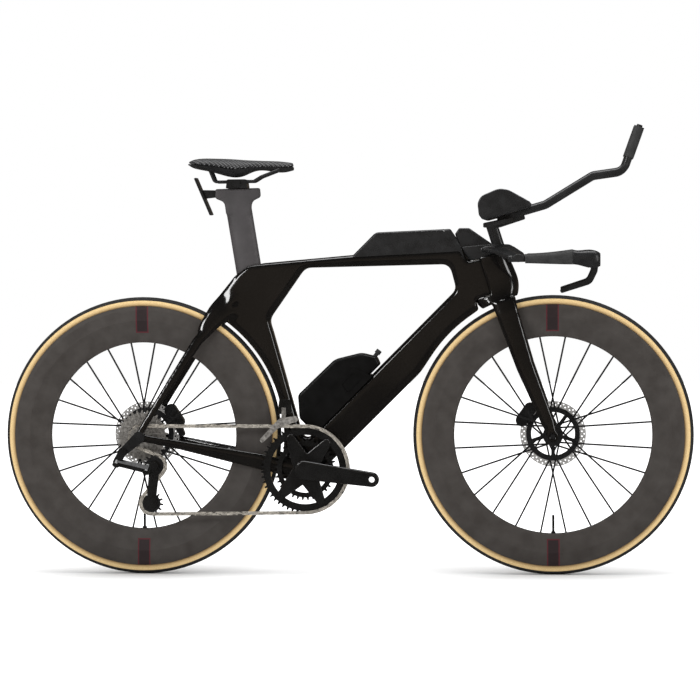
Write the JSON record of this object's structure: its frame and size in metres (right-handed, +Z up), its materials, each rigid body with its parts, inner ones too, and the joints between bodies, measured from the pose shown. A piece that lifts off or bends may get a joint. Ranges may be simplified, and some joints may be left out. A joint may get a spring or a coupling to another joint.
{
  "type": "time trial bike",
  "caption": "Time trial bicycle with an aero frame, deep disc-brake wheels, base bar with arm rests and extensions, chain drive with two derailleurs, bottle and top tube box.",
  "frame": {"origin": "on the ground, midway between the wheel axles, in the middle plane", "axes": "+X forward, +Y to the rider's left, +Z up"},
  "size_m": [1.678, 0.4122, 1.0868],
  "materials": {
    "gloss_carbon": "gloss paint over moulded carbon",
    "satin_carbon": "satin moulded carbon",
    "tan_tyre": "tan side walls with a black tread",
    "black_alloy": "black anodised",
    "steel": "bare",
    "black_rubber": "matt",
    "black_plastic": "matt",
    "saddle_cover": "fine grain cover over foam",
    "pad_foam": "foam with a knitted face"
  },
  "bodies": {
    "chassis": {"main_frame": "gloss_carbon", "rear_triangle": "gloss_carbon", "derailleur_hanger": "black_alloy", "rear_thru_axle": "black_alloy", "bottom_bracket": "black_alloy", "headset_bearings": "steel", "front_derailleur_body": "black_alloy", "rear_caliper": "black_alloy", "bottle_cage": "black_plastic", "storage_box": "black_plastic", "chain": "steel", "derailleur_knuckle": "black_alloy"},
    "front_derailleur": {"front_derailleur_cage": "black_alloy"},
    "lid": {"storage_lid": "black_plastic"},
    "bottle": {"bottle_body": "black_plastic", "bottle_cap": "black_plastic"},
    "nozzle": {"bottle_nozzle": "black_rubber"},
    "seat": {"seatpost": "satin_carbon", "saddle_clamp": "black_alloy", "saddle_rails": "satin_carbon", "saddle_base": "black_plastic", "saddle_pad": "saddle_cover", "rear_bracket": "black_alloy"},
    "steering": {"fork": "gloss_carbon", "front_thru_axle": "black_alloy", "front_caliper": "black_alloy", "base_bar": "satin_carbon", "bar_grips": "black_rubber", "lever_hoods": "black_plastic", "stem_cover": "black_plastic"},
    "arm_rest": {"riser_post": "satin_carbon", "arm_cups": "black_plastic", "arm_pads": "pad_foam", "extensions": "satin_carbon", "extension_grips": "black_rubber"},
    "right_button": {"right_shift_button": "black_plastic"},
    "left_button": {"left_shift_button": "black_plastic"},
    "right_lever": {"right_brake_lever": "black_alloy"},
    "left_lever": {"left_brake_lever": "black_alloy"},
    "front_wheel": {"front_tyre": "tan_tyre", "front_rim": "satin_carbon", "front_hub": "black_alloy", "front_spokes": "black_alloy", "front_rotor": "steel", "front_valve": "black_alloy"},
    "rear_wheel": {"rear_tyre": "tan_tyre", "rear_rim": "satin_carbon", "rear_hub": "black_alloy", "rear_spokes": "black_alloy", "rear_rotor": "steel", "rear_valve": "black_alloy"},
    "sprockets": {"cassette": "steel"},
    "crankset": {"right_crank": "black_alloy", "left_crank": "black_alloy", "chainrings": "black_alloy"},
    "derailleur_arm": {"derailleur_link": "black_alloy"},
    "derailleur_lower": {"derailleur_carrier": "black_alloy"},
    "pulley_cage": {"derailleur_cage": "black_alloy"},
    "guide_wheel": {"guide_pulley": "black_plastic"},
    "tension_wheel": {"tension_pulley": "black_plastic"}
  },
  "joints": [
    {"name": "steer", "type": "hinge", "parent": "chassis", "child": "steering", "pos_m": [0.3184, 0, 0.76532], "axis": [-0.3007, 0, 0.9537], "range_deg": [-30, 30]},
    {"name": "front_wheel_spin", "type": "hinge", "parent": "steering", "child": "front_wheel", "pos_m": [0.5, 0, 0.339], "axis": [0, 1, 0], "continuous": true},
    {"name": "rear_wheel_spin", "type": "hinge", "parent": "chassis", "child": "rear_wheel", "pos_m": [-0.5, 0, 0.339], "axis": [0, 1, 0], "continuous": true},
    {"name": "crank_spin", "type": "hinge", "parent": "chassis", "child": "crankset", "pos_m": [-0.0995, 0, 0.259], "axis": [0, 1, 0], "continuous": true, "deforming": ["chain"]},
    {"name": "sprocket_spin", "type": "hinge", "parent": "chassis", "child": "sprockets", "pos_m": [-0.5, 0, 0.339], "axis": [0, 1, 0], "continuous": true, "deforming": ["chain"]},
    {"name": "derailleur_swing", "type": "hinge", "parent": "chassis", "child": "derailleur_arm", "pos_m": [-0.553, -0.089, 0.28], "axis": [0.1646, 0.6826, 0.712], "range_deg": [-7, 32], "deforming": ["chain"]},
    {"name": "derailleur_level", "type": "hinge", "parent": "derailleur_arm", "child": "derailleur_lower", "pos_m": [-0.48015, -0.088, 0.26221], "axis": [0.1646, 0.6826, 0.712], "range_deg": [-32, 7], "deforming": ["chain"]},
    {"name": "cage_swing", "type": "hinge", "parent": "derailleur_lower", "child": "pulley_cage", "pos_m": [-0.465, -0.062, 0.269], "axis": [0, 1, 0], "range_deg": [-30, 15], "stiffness_Nm_per_rad": 0.5, "deforming": ["chain"]},
    {"name": "guide_pulley_spin", "type": "hinge", "parent": "pulley_cage", "child": "guide_wheel", "pos_m": [-0.465, -0.0559, 0.269], "axis": [0, 1, 0], "continuous": true, "deforming": ["chain"]},
    {"name": "tension_pulley_spin", "type": "hinge", "parent": "pulley_cage", "child": "tension_wheel", "pos_m": [-0.47462, -0.0559, 0.1775], "axis": [0, 1, 0], "continuous": true, "deforming": ["chain"]},
    {"name": "front_derailleur_swing", "type": "hinge", "parent": "chassis", "child": "front_derailleur", "pos_m": [-0.1515, -0.034, 0.409], "axis": [1, 0, 0], "range_deg": [0, 9], "deforming": ["chain"]},
    {"name": "right_brake_pull", "type": "hinge", "parent": "steering", "child": "right_lever", "pos_m": [0.6024, -0.19, 0.75732], "axis": [0, 1, 0], "range_deg": [0, 18], "stiffness_Nm_per_rad": 1, "springref_deg": -11.46},
    {"name": "left_brake_pull", "type": "hinge", "parent": "steering", "child": "left_lever", "pos_m": [0.6024, 0.19, 0.75732], "axis": [0, 1, 0], "range_deg": [0, 18], "stiffness_Nm_per_rad": 1, "springref_deg": -11.46},
    {"name": "right_shift_press", "type": "slide", "parent": "arm_rest", "child": "right_button", "axis": [-0.3394, 0, -0.9406], "range_m": [0, 0.0015], "stiffness_N_per_m": 1000, "springref_m": -0.001},
    {"name": "left_shift_press", "type": "slide", "parent": "arm_rest", "child": "left_button", "axis": [-0.3394, 0, -0.9406], "range_m": [0, 0.0015], "stiffness_N_per_m": 1000, "springref_m": -0.001},
    {"name": "seat_height", "type": "slide", "parent": "chassis", "child": "seat", "axis": [-0.1564, 0, 0.9877], "range_m": [-0.03, 0.03]},
    {"name": "arm_rest_height", "type": "slide", "parent": "steering", "child": "arm_rest", "axis": [-0.3007, 0, 0.9537], "range_m": [0, 0.03]},
    {"name": "lid_open", "type": "hinge", "parent": "chassis", "child": "lid", "pos_m": [0.2384, 0, 0.83692], "axis": [0, 1, 0], "range_deg": [0, 100]},
    {"name": "bottle_lift", "type": "slide", "parent": "chassis", "child": "bottle", "axis": [0, 0, 1], "range_m": [0, 0.1]},
    {"name": "nozzle_pull", "type": "slide", "parent": "bottle", "child": "nozzle", "axis": [0.6185, 0, 0.7858], "range_m": [0, 0.005]}
  ],
  "couplings": [
    {"joint": "sprocket_spin", "follows": "crank_spin", "ratio": 4},
    {"joint": "tension_pulley_spin", "follows": "crank_spin", "ratio": 4},
    {"joint": "guide_pulley_spin", "follows": "crank_spin", "ratio": -4},
    {"joint": "derailleur_level", "follows": "derailleur_swing", "ratio": -1}
  ]
}
